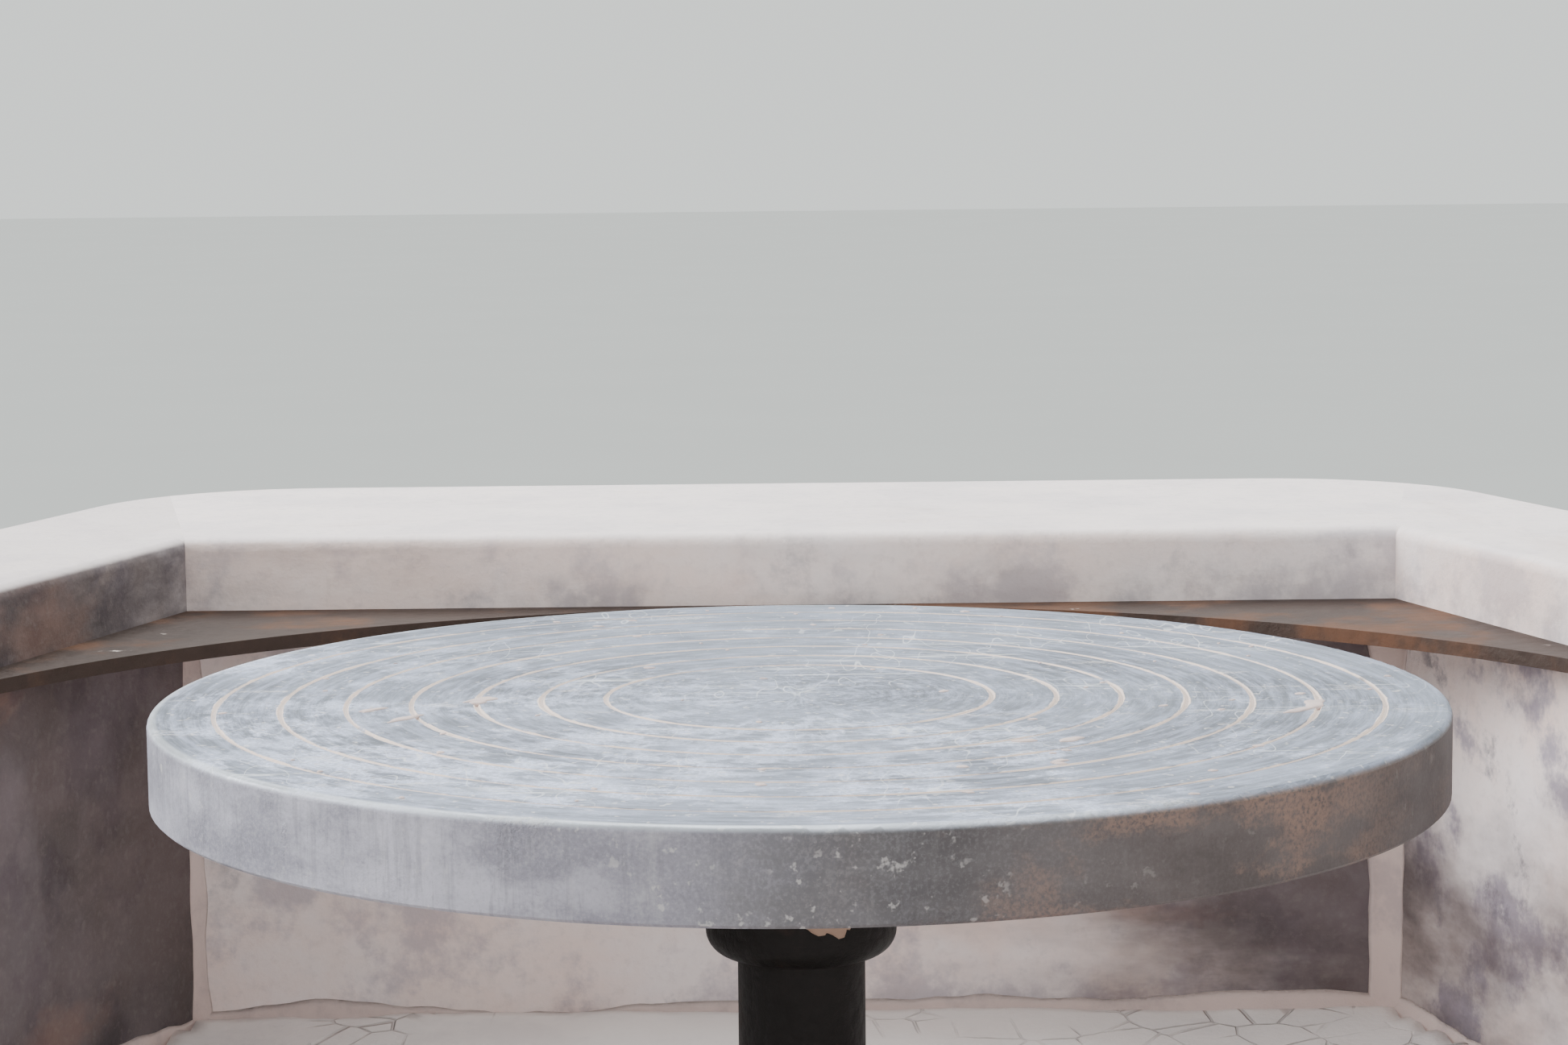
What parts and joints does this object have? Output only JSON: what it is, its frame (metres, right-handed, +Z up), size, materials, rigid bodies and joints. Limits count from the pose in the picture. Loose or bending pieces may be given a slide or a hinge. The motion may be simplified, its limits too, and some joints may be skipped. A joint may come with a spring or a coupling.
{
  "type": "pottery wheel",
  "caption": "Foot-kicked pottery wheel: a grooved disc on a bearing-mounted shaft over a timber splash tray, with a heavy flywheel below and a bench seat.",
  "frame": {"origin": "on the shaft's axis at floor level", "axes": "+Z up along the shaft, +Y away from the potter, +X to the potter's right"},
  "size_m": [0.864, 1.17, 0.827],
  "materials": {
    "head_aluminium": "dull, brushed round, with dried clay in its grooves",
    "rusty_steel": "rough, near black, rusted",
    "rubber": "matt",
    "tread_rubber": "matt, scuffed",
    "concrete": "cast, floated, matt",
    "rusty_sheet": "rust brown",
    "cast_iron": "sand-cast, painted dark",
    "bearing_steel": "ground",
    "brass": "machined",
    "seal_rubber": "matt",
    "zinc_fasteners": "dull zinc",
    "galvanised": "dull galvanised",
    "slip_coated_timber": "matt, under dried pinkish-white clay slip",
    "frame_timber": "sawn softwood, oiled and worn"
  },
  "bodies": {
    "frame": {"back_legs": "frame_timber", "base_cross_rails": "frame_timber", "base_side_rails": "frame_timber", "bearing_beam": "frame_timber", "bearing_housing": "cast_iron", "bearing_outer_ring": "bearing_steel", "bearing_screws": "zinc_fasteners", "bearing_seals": "seal_rubber", "cross_screws": "zinc_fasteners", "drain_tube": "galvanised", "foot_beam": "frame_timber", "foot_bearing_bush": "brass", "foot_bearing_housing": "cast_iron", "footrest_wedges": "frame_timber", "footrests": "frame_timber", "frame_bolts": "zinc_fasteners", "frame_nuts": "zinc_fasteners", "front_capping": "slip_coated_timber", "grease_nipple": "brass", "middle_legs": "frame_timber", "rim_board_back": "slip_coated_timber", "rim_board_left": "slip_coated_timber", "rim_board_right": "slip_coated_timber", "rim_brackets": "frame_timber", "rim_ledge": "rusty_sheet", "seat_board": "frame_timber", "seat_legs": "frame_timber", "seat_supports": "frame_timber", "shaft_upstand": "galvanised", "side_stretchers": "frame_timber", "thrust_ball": "bearing_steel", "tray_corner_cleats": "frame_timber", "tray_floor": "slip_coated_timber", "tray_joists": "frame_timber", "tray_wall_back": "slip_coated_timber", "tray_wall_front": "slip_coated_timber", "tray_wall_front_left": "slip_coated_timber", "tray_wall_front_right": "slip_coated_timber", "tray_wall_left": "slip_coated_timber", "tray_wall_right": "slip_coated_timber", "upper_side_rails": "frame_timber"},
    "rotor": {"wheel_head": "head_aluminium", "head_hub": "rusty_steel", "hub_screws": "zinc_fasteners", "wheel_shaft": "rusty_steel", "water_slinger": "rubber", "flywheel_disc": "concrete", "flywheel_band": "rusty_sheet", "flywheel_tread": "tread_rubber", "flywheel_hub": "cast_iron", "flywheel_clamp_plate": "rusty_sheet", "flywheel_bolts": "zinc_fasteners", "flywheel_nuts": "zinc_fasteners", "flywheel_key": "zinc_fasteners", "set_screws": "zinc_fasteners", "bearing_inner_ring": "bearing_steel"},
    "ball_cage": {"bearing_balls": "bearing_steel", "bearing_cage": "brass"},
    "drain_plug": {"drain_plug": "rubber"}
  },
  "joints": [
    {"name": "wheel_spin", "type": "hinge", "parent": "frame", "child": "rotor", "pos_m": [0, 0, 0.07], "axis": [0, 0, 1], "continuous": true},
    {"name": "cage_spin", "type": "hinge", "parent": "frame", "child": "ball_cage", "pos_m": [0, 0, 0.588], "axis": [0, 0, 1], "continuous": true},
    {"name": "drain_plug_lift", "type": "slide", "parent": "frame", "child": "drain_plug", "axis": [0, 0, 1], "range_m": [0, 0.05]}
  ],
  "couplings": [
    {"joint": "cage_spin", "follows": "wheel_spin", "ratio": 0.398}
  ]
}
